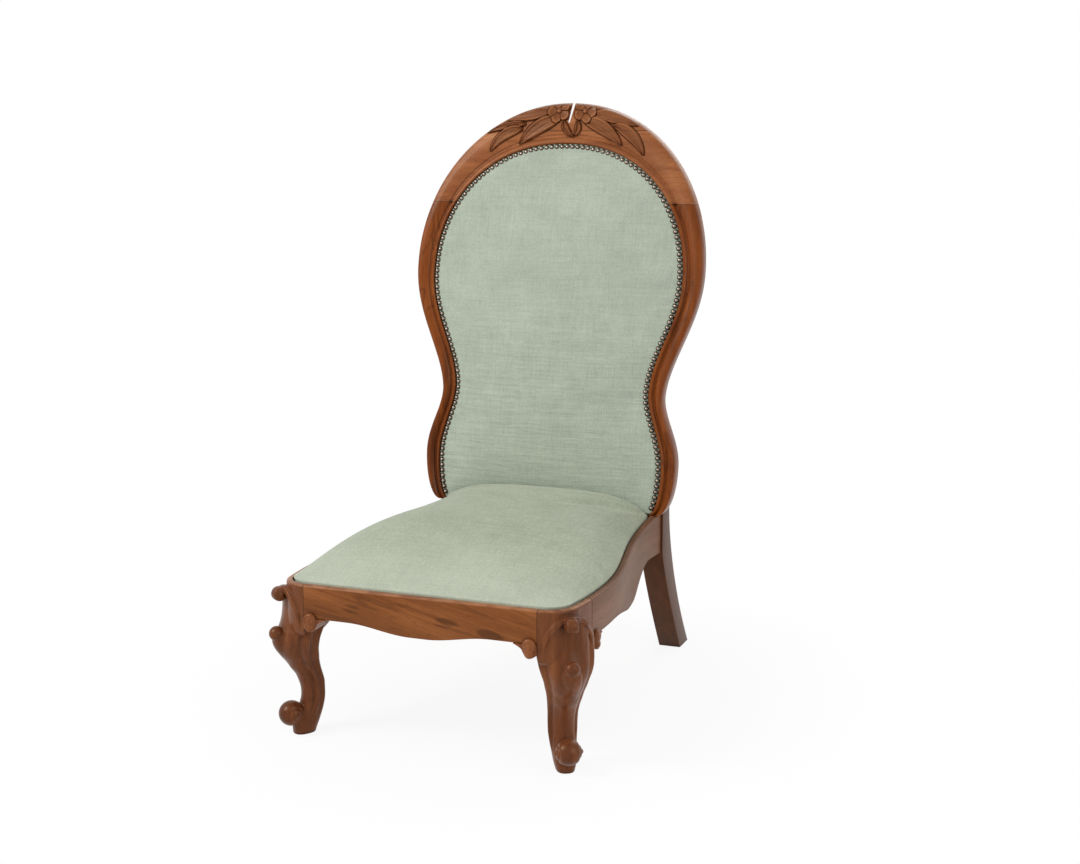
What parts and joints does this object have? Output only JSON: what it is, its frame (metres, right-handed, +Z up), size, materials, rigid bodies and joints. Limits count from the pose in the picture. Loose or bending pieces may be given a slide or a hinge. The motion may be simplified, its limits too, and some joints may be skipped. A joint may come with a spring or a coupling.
{
  "type": "balloon back nursing chair",
  "caption": "Low show-wood chair with a balloon back, carved crest, cabriole front legs, sabre rear legs, close-nailed velvet back and a lift-out drop-in seat.",
  "frame": {"origin": "on the floor, under the middle of the chair's bounding box", "axes": "+Z up, -Y towards the front of the chair, +X towards the sitter's left, which is the right-hand side seen from the front"},
  "size_m": [0.5484, 0.754, 1.01],
  "materials": {
    "rail_walnut": "waxed and polished figured walnut, orange-brown",
    "side_walnut": "waxed walnut, matte pinkish brown",
    "leg_walnut": "polished walnut, dark reddish brown, worn on the carving",
    "stile_walnut": "polished walnut, dark reddish brown",
    "crest_walnut": "polished walnut, red-brown, lighter on the carving",
    "beech": "bare sawn beech",
    "back_velvet": "cut velvet, sage green, drawn pile",
    "seat_velvet": "cut velvet, sage green, mottled pile",
    "jute": "woven jute webbing and hessian",
    "lining": "black glazed cotton",
    "nail_brass": "antique brass, domed heads",
    "screw_steel": "plain steel wood screws"
  },
  "bodies": {
    "chair": {"front_rail": "rail_walnut", "left_side_rail": "side_walnut", "right_side_rail": "side_walnut", "rear_seat_rail": "beech", "front_left_leg": "leg_walnut", "front_right_leg": "leg_walnut", "rear_left_leg": "leg_walnut", "rear_right_leg": "leg_walnut", "front_left_ear": "rail_walnut", "front_right_ear": "rail_walnut", "side_left_ear": "side_walnut", "side_right_ear": "side_walnut", "front_left_block": "beech", "front_right_block": "beech", "rear_left_block": "beech", "rear_right_block": "beech", "left_stile": "stile_walnut", "right_stile": "stile_walnut", "bottom_back_rail": "beech", "crest_rail": "crest_walnut", "crest_cap": "crest_walnut", "seat_dowels": "beech", "back_dowels": "beech", "block_screws": "screw_steel", "post_screws": "screw_steel", "back_webbing": "jute", "back_hessian": "jute", "back_pad": "back_velvet", "back_nails": "nail_brass", "outside_back": "back_velvet"},
    "drop_in_seat": {"drop_seat_front": "beech", "drop_seat_rear": "beech", "drop_seat_left": "beech", "drop_seat_right": "beech", "drop_seat_dowels": "beech", "seat_webbing": "jute", "seat_hessian": "jute", "seat_cushion": "seat_velvet", "seat_base_cloth": "lining"}
  },
  "joints": [
    {"name": "seat_lift", "type": "slide", "parent": "chair", "child": "drop_in_seat", "axis": [0, 0, 1], "range_m": [0, 0.12]}
  ]
}
